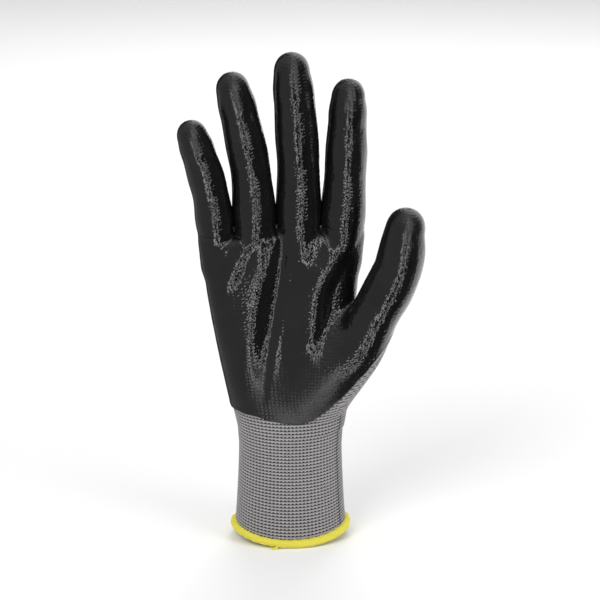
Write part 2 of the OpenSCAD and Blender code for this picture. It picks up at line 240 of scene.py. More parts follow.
class Digit:
    """Centre line, radius and turning frame of one finger or thumb.

    s runs from the root joint to the centre of the round tip, and on over the tip.
    """

    samples = 60

    def __init__(self, name):
        self.name = name
        radii = list(getattr(shape(), name + "_r"))
        chain = [name + "_proximal", name + "_distal"]
        if name != "thumb":
            chain.insert(1, name + "_middle")
        joints = [place(body) for body in chain]
        low, high = box_mm(name + "_distal_liner")
        tip_r = radii[-1]
        if name == "thumb":
            tip_x = high[0] - 1.3 * tip_r
        elif joints[-1][0] - joints[-2][0] < -1:
            tip_x = low[0] + tip_r
        else:
            tip_x = (low[0] + high[0]) / 2
        tip = np.array([tip_x, low[1] + tip_r, high[2] - tip_r])
        if name == "thumb":
            ball = np.array([CUFF_BOX[1][0] - radii[0] - 1.6, -3.0, WRIST + radii[0] + 1])
            below = joints[0] - 0.2 * (ROW - WRIST) * unit(joints[1] - joints[0])
            foot = 0.25 * ball + 0.5 * below + 0.25 * joints[0]
            inwards = np.array([shape().thumb_in, 0, 0])
            knots = [ball, foot] + [joint - inwards for joint in joints] + [tip]
            self.side = -np.array(JOINTS[chain[0]]["axis"])
        else:
            root = joints[0] + SIDE * (shape().little_in if name == "little" else 0)
            back = root - 14 * unit(joints[1] - joints[0])
            knots = [back, root] + joints[1:] + [tip]
            radii = radii[:1] + radii
            self.side = SIDE
        line = spline(np.column_stack([np.array(knots), radii]), self.samples)
        self.centre, self.radius = line[:, :3], line[:, 3]
        step = np.linalg.norm(np.diff(self.centre, axis=0), axis=1)
        run = np.concatenate([[0], np.cumsum(step)])
        self.s = run - run[np.argmin(np.linalg.norm(self.centre - joints[0], axis=1))]
        self.tip_s, self.tip_r = self.s[-1], tip_r
        self.length = self.tip_s + tip_r
        self.folds = [self.nearest(p) for p in joints]
        self.chain = chain
        self.ahead = unit(np.gradient(self.centre, axis=0))

    def nearest(self, point):
        """s of the centre line's point nearest to a place."""
        return float(self.s[np.argmin(np.linalg.norm(self.centre - point, axis=1))])

    def at(self, s):
        """Centre, radius, direction, side and palm vectors at s, all as rows."""
        s = np.asarray(s, float)
        held = np.clip(s, self.s[0], self.tip_s)
        centre = np.stack([np.interp(held, self.s, c) for c in self.centre.T], -1)
        ahead = unit(np.stack([np.interp(held, self.s, c) for c in self.ahead.T], -1))
        rounded = smooth_min(s, self.tip_s, 6.0)    # lets the radius run out softly into the tip
        radius = np.interp(rounded, self.s, self.radius) + self.swell(held)
        side = unit(self.side - ahead * (ahead @ self.side)[..., None])
        return centre, radius, ahead, side, np.cross(side, ahead)

    def swell(self, s):
        """Fullness between the folds: a low hump in each section, more above a finger's root."""
        hump = 0
        stops = self.folds + [self.tip_s]
        for low, high in zip(stops, stops[1:]):
            t = np.clip((s - low) / (high - low), 0, 1)
            hump = hump + 0.35 * np.sin(np.pi * t) ** 2
        fullness = 0.75 * bump(s, 6, 9) if self.name != "thumb" else 0
        return hump + fullness

    def skin(self, s, turn, lift=0.0):
        """Points and normals of the skin at s and turn.

        turn is the angle from the palm side towards the thumb side. Up to the tip centre the skin
        is a tube, centre + r (cos(turn) palm + sin(turn) side); past it the radius follows a
        quarter circle to the pole. A slight waist where the two meet makes the tip egg-shaped.
        """
        centre, radius, ahead, side, palm = self.at(s)
        rise = np.clip((s - self.tip_s) / self.tip_r, 0, math.pi / 2)
        ring = np.cos(turn)[..., None] * palm + np.sin(turn)[..., None] * side
        normal = np.cos(rise)[..., None] * ring + np.sin(rise)[..., None] * ahead
        narrower = 1 - 0.045 * np.exp(-(((s - self.tip_s) / self.tip_r - 0.25) / 0.55) ** 2)
        return centre + normal * (radius * narrower + lift)[..., None], normal

    @property
    def end(self):
        """s of the pole at the tip."""
        return self.tip_s + self.tip_r * math.pi / 2

    def edge(self, s):
        """Half-angle of the film at s: the wrap behind the middle, growing to all round."""
        radius = np.interp(np.clip(s, self.s[0], self.tip_s), self.s, self.radius)
        wrap = math.pi / 2 + np.arcsin(np.clip(shape().wrap / radius, -1, 1))
        below_cap = np.clip((self.length - shape().cap - s) / 6, 0, 1)
        return wrap + (math.pi - wrap) * (1 - below_cap ** 0.8)

    def field(self, points, top=30.0):
        """Signed distance to the digit's tube up to s = top, and the s nearest to each point.

        The nearest s starts from the nearest knot of the centre line, and is then moved along the
        two pieces of line that meet there. Points far from the digit get a large distance.
        """
        line = self.s <= top
        knots, stops = self.centre[line], self.s[line]
        reach = self.radius.max() + 14
        low, high = knots.min(0) - reach, knots.max(0) + reach
        near = np.flatnonzero(((points > low) & (points < high)).all(1))
        here = points[near]
        square = (here ** 2).sum(1)[:, None] - 2 * here @ knots.T + (knots ** 2).sum(1)[None]
        knot = square.argmin(1)
        best = np.full(len(here), 1e9)
        at = np.zeros(len(here))
        for first in (np.clip(knot - 1, 0, len(knots) - 2), np.clip(knot, 0, len(knots) - 2)):
            along = knots[first + 1] - knots[first]
            t = ((here - knots[first]) * along).sum(1) / (along * along).sum(1)
            t = np.clip(t, 0, 1)
            gap = np.linalg.norm(here - knots[first] - t[:, None] * along, axis=1)
            s = stops[first] + t * (stops[first + 1] - stops[first])
            dist = gap - np.interp(s, self.s, self.radius) - self.swell(s)
            best, at = np.where(dist < best, dist, best), np.where(dist < best, s, at)
        distance = np.full(len(points), 99.0)
        nearest = np.full(len(points), float(stops[-1]))
        distance[near], nearest[near] = best, at
        return distance, nearest


# ---------------------------------------------------------------- hand

def hand_section(z):
    """Centre, half-width, half-depth and squareness of the hand's or cuff's outline at height z.

    Below the wrist the outline narrows from the hem to a waist by (1 - z / waist)^1.5; above it,
    it widens to the row of finger roots.
    """
    z = np.asarray(z, float)
    flare = np.clip(1 - z / WAIST, 0, 1) ** 1.5
    hem_a, hem_b = CUFF_BOX[1][0], CUFF_BOX[1][1]
    over = np.clip((z - WAIST) / (WRIST - WAIST), 0, 1)
    a_low = WAIST_A + (hem_a - WAIST_A) * flare + (WRIST_A - WAIST_A) * over
    b_low = WAIST_B + (hem_b - WAIST_B) * flare
    t = np.clip((z - WRIST) / (ROW - WRIST), 0, 1.05)
    left_end = ROOTS["little"][0] + shape().little_in - shape().little_r[0] - 0.4
    right_end = ROOTS["index"][0] + shape().index_r[0]
    soft = 0.5 * np.sin(np.pi / 2 * t) + 0.5 * t
    left = -WRIST_A + (left_end + WRIST_A) * soft
    right = WRIST_A + (right_end - WRIST_A) * t + 1.2 * bump(z, WRIST + 8, 10)
    above = z > WRIST
    cx = np.where(above, (left + right) / 2, 0)
    a = np.where(above, (right - left) / 2, a_low)
    b_high = WAIST_B + (ROOT_B - WAIST_B) * t - 1.3 * ease((t - 0.78) / 0.2)
    b = np.where(above, b_high, b_low)
    cy = ROOTS["middle"][1] * t
    e = 2.2 + 0.8 * t
    return cx, cy, a, b, e


def section_columns(heights):
    """hand_section at many heights, each of its values as a column."""
    return [value[:, None] for value in hand_section(heights)]


def outline_reach(angle, e):
    """Radius of the super-ellipse |x|^e + |y|^e = 1 in the direction of an angle."""
    return (np.abs(np.cos(angle)) ** e + np.abs(np.sin(angle)) ** e) ** (-1 / e)


def palm_relief(x, z):
    """How far the palm stands out of its plain outline: heel, ball of the thumb, hollow, pads."""
    heel = 1.6 * bump(x, -24, 11) * bump(z, 92, 30)
    hollow = -2.4 * bump(x, -3, 12) * bump(z, 112, 30)
    pads = 0.9 * bump(z, 146, 9) * np.cos((x - ROOTS["middle"][0]) / 20 * 2 * np.pi)
    slope = 0.16 * np.clip(x + 15, 0, 36) * ease((z - 62) / 16) * (1 - ease((z - 90) / 20))
    return heel + hollow + slope + pads * bump(x, -6, 45)


def hand_field(points):
    """Signed distance to the hand: a super-ellipse tube with a rounded top at the webs."""
    x, y, z = points.T
    cx, cy, a, b, e = hand_section(z)
    front = y < cy
    b = np.where(front, b + palm_relief(x, z), b)
    u, v = np.abs(x - cx) / a, np.abs(y - cy) / b
    g = np.maximum((u ** e + v ** e) ** (1 / e), 1e-3)
    slope = g ** (1 - e) * np.hypot(u ** (e - 1) / a, v ** (e - 1) / b)
    side = (g - 1) / np.maximum(slope, 0.02)
    order = [ROOTS[f] for f in FINGERS]
    top = np.interp(x, [r[0] for r in order], [r[2] for r in order]) - 0.8
    lid = z - top
    return -smooth_min(-side, -lid, 5.0)


def glove_field(points, digits):
    """Signed distance to the whole glove, with the parts that it is mixed from.

    The thumb joins the hand by a wide fillet at its ball and a narrow one at its crotch. The
    fingers join it by a fillet only in the webs, so that their fronts run on flat.
    """
    hand = hand_field(points)
    thumb, thumb_s = digits["thumb"].field(points)
    fillet = 2 + (1.5 + 8.5 * ease(-thumb_s / 22)) * ease((points[:, 2] - WRIST - 4) / 24)
    body = smooth_min(hand, thumb, fillet)
    fingers = [digits[f].field(points) for f in FINGERS]
    stack = np.array([f[0] for f in fingers])
    which = stack.argmin(0)
    pick = np.arange(len(points))
    finger = stack[which, pick]
    finger_s = np.array([f[1] for f in fingers])[which, pick]
    _, cy, _, b, _ = hand_section(points[:, 2])
    web = 1 - ease((np.abs(points[:, 1] - cy) / b - 0.3) / 0.5)
    whole = smooth_min(body, finger, 1.4 + 2.6 * web)
    thumb_share = ease(0.5 + (hand - thumb) / 16)
    return {"d": whole, "hand": hand, "thumb": thumb, "thumb_s": thumb_s,
            "thumb_share": thumb_share, "which": which, "finger": finger, "finger_s": finger_s}


def field_normal(points, digits, step=0.3):
    """Unit gradient of the glove's distance field, by central differences."""
    grad = np.empty_like(points)
    for axis in range(3):
        shift = np.zeros(3)
        shift[axis] = step
        ahead = glove_field(points + shift, digits)["d"]
        behind = glove_field(points - shift, digits)["d"]
        grad[:, axis] = ahead - behind
    return unit(grad)


def settle(points, digits, rounds=3):
    """Points moved along the field's gradient until they lie on the glove's skin."""
    for _ in range(rounds):
        d = glove_field(points, digits)["d"]
        points = points - np.clip(d, -2, 2)[:, None] * field_normal(points, digits)
    return points


# ---------------------------------------------------------------- knit pattern

def knit_height(u, v):
    """Height 0 to 1 of plain knit at u stitches across and v stitches up.

    Each course is a bar, cos^2(pi v); between two bars the yarn stands only along the wales,
    cos^2(pi u), which leaves a hole between every four stitches.
    """
    bar = np.cos(np.pi * (v + 0.10 * np.cos(2 * np.pi * u))) ** 2
    leg = np.cos(np.pi * u) ** 2
    return 1 - (1 - bar) * (1 - LEG * leg)


def stitch_lift(u, v):
    """How far the knit's surface lies above its plain skin: 0 on the yarn, below 0 in the holes."""
    return knit().relief * (knit_height(u, v) - 1)


# ---------------------------------------------------------------- mesh making

def make_object(name, points, faces, material, uv=None, fields=None, span=0):
    """Mesh object from points in millimetres, with a UV map and named per-point values.

    material is the name of a material. Where a face reaches over the line at which u starts
    again, span is added to its low corners.
    """
    mesh = bpy.data.meshes.new(name)
    mesh.from_pydata((np.asarray(points) * MM).tolist(), [], np.asarray(faces).tolist())
    mesh.polygons.foreach_set("use_smooth", np.ones(len(mesh.polygons), bool))
    if uv is not None:
        corners = np.asarray(uv, float)[np.asarray(faces)]
        u = corners[..., 0]
        if span:
            u[u < u.max(-1, keepdims=True) - span / 2] += span
        layer = mesh.uv_layers.new(name="UVMap")
        layer.data.foreach_set("uv", corners.astype(np.float32).ravel())
    for label, values in (fields or {}).items():
        attribute = mesh.attributes.new(label, "FLOAT", "POINT")
        attribute.data.foreach_set("value", np.asarray(values, np.float32))
    mesh.update()
    piece = bpy.data.objects.new(name, mesh)
    bpy.context.scene.collection.objects.link(piece)
    mesh.materials.append(bpy.data.materials[material])
    return piece


def grid_faces(rows, columns, closed=False, flip=False):
    """Quads of a grid of rows and columns; closed joins the last column to the first."""
    r, c = np.meshgrid(np.arange(rows - 1), np.arange(columns - (not closed)), indexing="ij")
    a = (r * columns + c).ravel()
    b = (r * columns + (c + 1) % columns).ravel()
    quads = np.column_stack([a, b, b + columns, a + columns])
    return quads[:, ::-1] if flip else quads


def triangle_edges(triangles):
    """Directed edges of triangles: all first ones, then all second ones, then all third ones."""
    return np.vstack([triangles[:, [0, 1]], triangles[:, [1, 2]], triangles[:, [2, 0]]])


def clip(points, triangles, level, extra):
    """The part of a triangle mesh where level > 0, cut exactly along level = 0.

    Every edge that crosses zero gets one new point by linear interpolation, shared by its two
    triangles. extra is a dict of per-point arrays, interpolated in the same way.
    """
    inside = level > 0
    count = inside[triangles].sum(1)
    new_faces = [triangles[count == 3]]
    edges = np.sort(triangle_edges(triangles), 1)
    cross = np.unique(edges[inside[edges[:, 0]] != inside[edges[:, 1]]], axis=0)
    i, j = cross.T
    t = level[i] / (level[i] - level[j])
    key = i.astype(np.int64) * len(points) + j
    order = np.argsort(key)
    key = key[order]

    def middle(p, q):
        """Indices of the new points on the edges from p to q."""
        low, high = np.minimum(p, q).astype(np.int64), np.maximum(p, q)
        return len(points) + order[np.searchsorted(key, low * len(points) + high)]

    for corner in range(3):
        a, b, c = (triangles[:, (corner + k) % 3] for k in range(3))
        one = (count == 1) & inside[a]
        new_faces.append(np.column_stack([a[one], middle(a[one], b[one]), middle(a[one], c[one])]))
        two = (count == 2) & ~inside[a]
        ab, ac = middle(a[two], b[two]), middle(a[two], c[two])
        new_faces.append(np.column_stack([ab, b[two], c[two]]))
        new_faces.append(np.column_stack([ab, c[two], ac]))
    faces = np.vstack(new_faces)

    def mixed(values):
        """Per-point values with those of the new points behind them."""
        weight = t.reshape([-1] + [1] * (values.ndim - 1))
        return np.concatenate([values, values[i] * (1 - weight) + values[j] * weight])

    all_points = mixed(points)
    extra = {name: mixed(values) for name, values in extra.items()}
    used = np.unique(faces)
    back = np.full(len(all_points), -1)
    back[used] = np.arange(len(used))
    return all_points[used], back[faces], {name: value[used] for name, value in extra.items()}


def refine(points, triangles):
    """Each triangle split into four at its edges' middles."""
    edges = np.sort(triangle_edges(triangles), 1)
    pairs, where = np.unique(edges, axis=0, return_inverse=True)
    middle = len(points) + where.reshape(3, -1)
    points = np.vstack([points, points[pairs].mean(1)])
    a, b, c = triangles.T
    ab, bc, ca = middle
    return points, np.vstack([np.column_stack(f) for f in
                              ((a, ab, ca), (ab, b, bc), (ca, bc, c), (ab, bc, ca))])


def boundary(triangles):
    """Directed edges that only one triangle uses."""
    edges = triangle_edges(triangles)
    low, high = edges.min(1).astype(np.int64), edges.max(1)
    key = low * (triangles.max() + 1) + high
    _, first, count = np.unique(key, return_index=True, return_counts=True)
    return edges[first[count == 1]]


def vertex_normals(points, triangles):
    """Normals averaged over the triangles around each point, weighted by area."""
    a, b, c = (points[triangles[:, k]] for k in range(3))
    face = np.cross(b - a, c - a)
    total = np.zeros_like(points)
    for k in range(3):
        np.add.at(total, triangles[:, k], face)
    return unit(total)


def tube_along(path, radius, sides, closed=False):
    """Tube of a given radius along a path: rings of points across the path's direction.

    Each ring is turned so that its first point faces away from the Z axis, or up where the path
    itself runs up and down. Returns points, faces and a UV of turn and length.
    """
    path = np.asarray(path, float)
    if closed:
        ahead = unit(np.roll(path, -1, 0) - np.roll(path, 1, 0))
    else:
        ahead = unit(np.gradient(path, axis=0))
    hint = path * np.array([1, 1, 0]) + np.array([0, 0, 1e-3])
    first = unit(hint - ahead * (hint * ahead).sum(1, keepdims=True))
    second = np.cross(ahead, first)
    turn = np.linspace(0, 2 * np.pi, sides, endpoint=False)
    radius = np.broadcast_to(radius, len(path))[:, None, None]
    c, s = np.cos(turn)[None, :, None], np.sin(turn)[None, :, None]
    ring = c * first[:, None] + s * second[:, None]
    points = (path[:, None] + radius * ring).reshape(-1, 3)
    faces = grid_faces(len(path), sides, closed=True, flip=True)
    if closed:
        last = (len(path) - 1) * sides
        k = np.arange(sides)
        nxt = (k + 1) % sides
        faces = np.vstack([faces, np.column_stack([last + k, k, nxt, last + nxt])[:, ::-1]])
    run = np.concatenate([[0], np.cumsum(np.linalg.norm(np.diff(path, axis=0), axis=1))])
    uv = np.column_stack([np.tile(turn / (2 * np.pi), len(path)), np.repeat(run, sides)])
    return points, faces, uv


# ---------------------------------------------------------------- relief of the palm

def film_foot(x):
    """Height of the film's lower edge: lowest at x = 4, and rising to both sides of it.

    Towards the thumb it rises ever more, by 0.226 (x - 4)^1.38; towards the little finger it
    rises softly by 5.5 in all.
    """
    lowest = 4
    right = np.clip(x - lowest, 0, None)
    left = np.clip(lowest - x, 0, None)
    return WRIST + 8 + 0.226 * right ** 1.38 + 5.5 * ease(left / 36)


def crest_x(z):
    """x of the long crest that runs from the palm's middle up to the index finger."""
    up = np.clip((z - 103) / (ROW - 103), -0.2, 1.1)
    return 8.6 + 2.0 * ease(up / 0.6) + (ROOTS["index"][0] - 10.6) * ease((up - 0.35) / 0.75)


def crest_height(z):
    """Height of the long crest: full over the palm, and a quarter of it at the index finger."""
    return 3.6 * ease((z - 84) / 20) * (1 - 0.75 * ease((z - 140) / 18))


def hollow_x(z):
    """x of the deepest line of the long hollow between the ring and middle fingers."""
    return -4.2 - 10.4 * ease((161 - z) / 83)


def one_sided(x, centre, left, right):
    """Bump cos^2(pi d / 2 w) with its own width w on each side of the centre."""
    d = x - centre
    width = np.where(d < 0, left, right)
    return np.cos(np.pi / 2 * np.clip(d / width, -1, 1)) ** 2


def palm_folds(x, z):
    """Height of the palm's folds over its plain outline, seen from the front.

    A crest below the index finger, a lens-shaped hollow with a steep right side, a slanting crest
    below the ring finger and a small one below the middle finger.
    """
    crest = crest_height(z) * one_sided(x, crest_x(z), 17, 10)
    lens_top, lens_length, crests_end = 165, 91, 168
    lens = np.sin(np.pi * np.clip((lens_top - z) / lens_length, 0, 1)) ** 0.8
    left = 3.5 + 8.5 * ease((lens_top - z) / 50)
    hollow = -2.5 * lens * one_sided(x, hollow_x(z), left, 2 + 3.6 * lens)
    fade = ease((crests_end - z) / 8)
    slant_x = ROOTS["ring"][0] - 3.5 - 0.48 * (158 - z)
    slanting = 1.4 * ease((z - 126) / 14) * fade * one_sided(x, slant_x, 8, 6)
    small_x = ROOTS["middle"][0] + 0.5
    small = 0.6 * ease((z - 142) / 8) * fade * one_sided(x, small_x, 5, 5)
    return crest + hollow + slanting + small


# ---------------------------------------------------------------- materials

def node_group(name, inputs, outputs):
    """Tree helper of a new shader node group, with its input and output nodes.

    inputs are (name, socket type, default) rows; outputs are names of values.
    """
    group = bpy.data.node_groups.new(name, "ShaderNodeTree")
    for label, kind, default in inputs:
        socket = group.interface.new_socket(label, in_out="INPUT", socket_type=kind)
        if default is not None:
            socket.default_value = default
    for label in outputs:
        group.interface.new_socket(label, in_out="OUTPUT", socket_type="NodeSocketFloat")
    t = Tree(group)
    return t, t.add("NodeGroupInput"), t.add("NodeGroupOutput")


class Tree:
    """Short way to add and join shader nodes."""

    def __init__(self, tree):
        self.tree = tree
        self.column = 0

    def add(self, kind, values=None, **settings):
        """New node with its inputs fed and its settings made."""
        node = self.tree.nodes.new(kind)
        self.column += 1
        node.location = (180 * (self.column % 12), -220 * (self.column // 12))
        for key, value in settings.items():
            setattr(node, key, value)
        for key, value in (values or {}).items():
            self.feed(node.inputs[key], value)
        return node

    def feed(self, socket, value):
        """Joins an output to an input socket, or sets the input to a plain value."""
        if isinstance(value, bpy.types.NodeSocket):
            self.tree.links.new(value, socket)
        else:
            socket.default_value = value

    def math(self, operation, a, b=0.0, c=0.0):
        """Result of one step of arithmetic; only MULTIPLY_ADD reads c."""
        node = self.add("ShaderNodeMath", {0: a, 1: b}, operation=operation)
        if operation == "MULTIPLY_ADD":
            self.feed(node.inputs[2], c)
        return node.outputs[0]

    def ramp(self, value, low, high, to_low=0.0, to_high=1.0):
        """Smooth step of value from low to high, onto the range to_low to to_high."""
        node = self.add("ShaderNodeMapRange", {0: value, 1: low, 2: high, 3: to_low, 4: to_high},
                        interpolation_type="SMOOTHSTEP")
        return node.outputs[0]

    def mix(self, share, a, b):
        """Colour between a and b."""
        node = self.add("ShaderNodeMix", {0: share, 6: a, 7: b}, data_type="RGBA")
        return node.outputs[2]

    def noise(self, where, scale, detail, rough=0.55):
        """Value of a noise texture at a place."""
        node = self.add("ShaderNodeTexNoise", {
            "Vector": where, "Scale": scale, "Detail": detail, "Roughness": rough})
        return node.outputs[0]


def stitch_group():
    """Height of plain knit and the mask of its holes, where shade is painted, from a UV map that
    counts stitches.

    bar = cos^2(pi v), leg = cos^2(pi u), height = 1 - (1 - bar) (1 - LEG leg), as in knit_height.
    """
    t, start, end = node_group("Stitches", [("Stitch", "NodeSocketVector", None),
                                            ("Loose", "NodeSocketFloat", 0.0)],
                               ["Height", "Painted_Hole_Shade", "Twist"])
    split = t.add("ShaderNodeSeparateXYZ", {0: start.outputs[0]})
    u, v = split.outputs[0], split.outputs[1]
    wave = t.math("COSINE", t.math("MULTIPLY", u, 2 * math.pi))
    bent = t.math("MULTIPLY_ADD", wave, 0.10, v)
    bar = t.math("POWER", t.math("COSINE", t.math("MULTIPLY", bent, math.pi)), 2.0)
    leg = t.math("POWER", t.math("COSINE", t.math("MULTIPLY", u, math.pi)), 2.0)
    gap = t.math("MULTIPLY", t.math("SUBTRACT", 1.0, bar),
                 t.math("SUBTRACT", 1.0, t.math("MULTIPLY", leg, LEG)))
    height = t.math("SUBTRACT", 1.0, gap)
    t.feed(end.inputs["Height"], height)
    # The hole mask marks where the knit material paints near-black shade into the holes between the
    # stitches; Loose widens it.
    loosened = t.math("SUBTRACT", height, t.math("MULTIPLY", start.outputs["Loose"], 0.4))
    t.feed(end.inputs["Painted_Hole_Shade"], t.ramp(loosened, 0.80, 0.34))
    slant = t.math("MULTIPLY_ADD", u, 5.0, t.math("MULTIPLY", bent, 3.0))
    t.feed(end.inputs["Twist"], t.math("SINE", t.math("MULTIPLY", slant, 2 * math.pi)))


def dust_group():
    """Slow patches of handling marks, 0 to 1, and fine grain, both on Object coordinates."""
    t, start, end = node_group("Handling", [("Place", "NodeSocketVector", None),
                                            ("Size", "NodeSocketFloat", 0.02)],
                               ["Patches", "Grain"])
    scale = t.math("DIVIDE", 1.0, start.outputs["Size"])
    slow = t.noise(start.outputs["Place"], scale, 4.0)
    t.feed(end.inputs["Patches"], t.ramp(slow, 0.35, 0.7))
    t.feed(end.inputs["Grain"], t.noise(start.outputs["Place"], 1800.0, 2.0))


def new_material(name):
    """New node material: its tree helper, Principled shader and texture coordinates."""
    new = bpy.data.materials.new(name)
    new.use_nodes = True
    new.node_tree.nodes.clear()
    t = Tree(new.node_tree)
    out = t.add("ShaderNodeOutputMaterial")
    shader = t.add("ShaderNodeBsdfPrincipled")
    t.feed(out.inputs["Surface"], shader.outputs[0])
    return t, shader, t.add("ShaderNodeTexCoord")


def placed(t, name, **values):
    """A node group placed in a material, with its inputs fed."""
    node = t.add("ShaderNodeGroup", node_tree=bpy.data.node_groups[name])
    for key, value in values.items():
        t.feed(node.inputs[key], value)
    return node


def rgba(colour):
    """A colour with full opacity."""
    return (*colour, 1.0)


def film_material():
    """Black rubber film: glossy, and matt with the knit printing through where "print" is low."""
    t, shader, place = new_material("rubber_film")
    stitches = placed(t, "Stitches", Stitch=place.outputs["UV"])
    marks = placed(t, "Handling", Place=place.outputs["Object"], Size=0.018)
    show = t.add("ShaderNodeAttribute", attribute_name="print").outputs["Fac"]
    dark = rgba(colours().film)
    worn = rgba([c * 2.1 + 0.0015 for c in colours().film])
    t.feed(shader.inputs["Base Color"], t.mix(
        t.math("MULTIPLY", marks.outputs["Patches"], 0.35), dark, worn))
    matt = t.math("SUBTRACT", 1.0, show)
    t.feed(shader.inputs["Roughness"], t.math("MULTIPLY_ADD", matt, 0.20, t.math(
        "MULTIPLY_ADD", marks.outputs["Patches"], 0.05, 0.08)))
    uneven = t.noise(place.outputs["Object"], 620.0, 1.0, 0.5)
    ghost = t.math("MULTIPLY_ADD", matt, 0.45, 0.42)
    lumps = t.math("MULTIPLY_ADD", uneven, t.math("MULTIPLY_ADD", show, 1.1, 0.5),
                   t.math("MULTIPLY", stitches.outputs["Height"], ghost))
    knit_print = t.add("ShaderNodeBump", {
        "Strength": 1.0, "Distance": 0.00013, "Height": lumps})
    t.feed(shader.inputs["Normal"], knit_print.outputs[0])


def knit_material():
    """Grey knitted yarn with painted shade in the holes between the stitches, a light twist and
    loose fibres.
    """
    t, shader, place = new_material("grey_knit")
    ladder = t.add("ShaderNodeAttribute", attribute_name="ladder").outputs["Fac"]
    stitches = placed(t, "Stitches", Stitch=place.outputs["UV"], Loose=ladder)
    marks = placed(t, "Handling", Place=place.outputs["Object"], Size=0.012)
    yarn = rgba(colours().yarn)
    shade = rgba([c * 0.62 for c in colours().yarn])
    # hole is painted shade: near-black colour in the holes between the stitches, with more of it
    # along the cuff's ladder.
    hole = rgba(colours().hole)
    strand = t.mix(t.ramp(marks.outputs["Grain"], 0.3, 0.7), shade, yarn)
    body = t.mix(t.math("MULTIPLY", marks.outputs["Patches"], 0.14), strand, shade)
    t.feed(shader.inputs["Base Color"], t.mix(stitches.outputs["Painted_Hole_Shade"], body, hole))
    shader.inputs["Roughness"].default_value = 0.86
    shader.inputs["Specular IOR Level"].default_value = 0.25
    shader.inputs["Sheen Weight"].default_value = 0.25
    shader.inputs["Sheen Roughness"].default_value = 0.5
    relief = t.math("MULTIPLY_ADD", stitches.outputs["Twist"], 0.10, stitches.outputs["Height"])
    relief = t.math("MULTIPLY_ADD", marks.outputs["Grain"], 0.35, relief)
    raised = t.add("ShaderNodeBump", {"Strength": 0.7, "Distance": 0.00022, "Height": relief})
    t.feed(shader.inputs["Normal"], raised.outputs[0])


def thread_material(name, colour, strands=3.0):
    """Thread with plies that wind round it, a sine of turn plus length, and painted shade between
    them.
    """
    t, shader, place = new_material(name)
    split = t.add("ShaderNodeSeparateXYZ", {0: place.outputs["UV"]})
    slant = t.math("MULTIPLY_ADD", split.outputs[0], strands,
                   t.math("MULTIPLY", split.outputs[1], 0.9))
    ply = t.math("MULTIPLY_ADD", t.math("SINE", t.math("MULTIPLY", slant, 2 * math.pi)), 0.5, 0.5)
    marks = placed(t, "Handling", Place=place.outputs["Object"], Size=0.006)
    # deep is painted shade: the thread's colour darkened in the grooves between the plies, mixed in
    # by 1 - ply.
    deep = rgba([c * 0.55 for c in colour])
    t.feed(shader.inputs["Base Color"], t.mix(
        t.math("MULTIPLY", t.math("SUBTRACT", 1.0, ply), 0.85), rgba(colour), deep))
    t.feed(shader.inputs["Roughness"], t.math(
        "MULTIPLY_ADD", marks.outputs["Patches"], 0.15, 0.55))
    shader.inputs["Sheen Weight"].default_value = 0.3
    relief = t.math("MULTIPLY_ADD", marks.outputs["Grain"], 0.4, ply)
    raised = t.add("ShaderNodeBump", {"Strength": 0.8, "Distance": 0.00012, "Height": relief})
    t.feed(shader.inputs["Normal"], raised.outputs[0])


def floor_material():
    """Plain pale paper, very slightly mottled."""
    t, shader, place = new_material("pale_floor")
    soft = t.noise(place.outputs["Object"], 3.0, 2.0)
    t.feed(shader.inputs["Base Color"], t.mix(soft, rgba((0.93, 0.93, 0.93)),
                                              rgba((0.96, 0.96, 0.96))))
    shader.inputs["Roughness"].default_value = 0.9
    shader.inputs["Specular IOR Level"].default_value = 0.1


# ---------------------------------------------------------------- pieces

def film_shell(points, normals, faces, at_edge):
    """Film skin with a rim: where at_edge is true, its open edge is joined to a sunk copy.

    Also returns the indices of the points that were copied.
    """
    rim = boundary(faces)
    rim = rim[at_edge[rim].all(1)]
    ring = np.unique(rim)
    sunk = points[ring] - normals[ring] * (shape().film_t + RIM_DROP)
    index = np.full(len(points), -1)
    index[ring] = len(points) + np.arange(len(ring))
    a, b = rim.T
    wall = np.vstack([np.column_stack([b, a, index[a]]), np.column_stack([b, index[a], index[b]])])
    return np.vstack([points, sunk]), np.vstack([faces, wall]), ring


def digit_rows(low, high, step):
    """Evenly spaced s values from low to high, about step apart."""
    return np.linspace(low, high, max(4, int(round((high - low) / step)) + 1))


def film_centre(name):
    """Turn of the film's middle line, towards the thumb side."""
    return math.radians(30) if name == "thumb" else 0.0


def film_folds(digit, s, turn):
    """Small lengthwise creases and the cross creases at the folds, in millimetres."""
    ripple = 0.05 * np.sin(9 * turn + 2.2 * np.sin(s / 7)) * np.sin(s / 11 + 1)
    facing = np.clip(np.cos(turn), 0, 1)
    creases = sum(bump(s, fold + 1.2 * np.cos(turn), 2.4) for fold in digit.folds[1:])
    return ripple - 0.20 * creases * facing


def foot_rows(rows, tucked):
    """Rows of s with two more below the first one, and how far each row sinks into the glove."""
    if not tucked:
        return rows, np.zeros(len(rows))
    more = np.concatenate([[rows[0] - 1.6, rows[0] - 0.01], rows])
    sunk = np.zeros(len(more))
    sunk[0] = 0.9
    return more, sunk


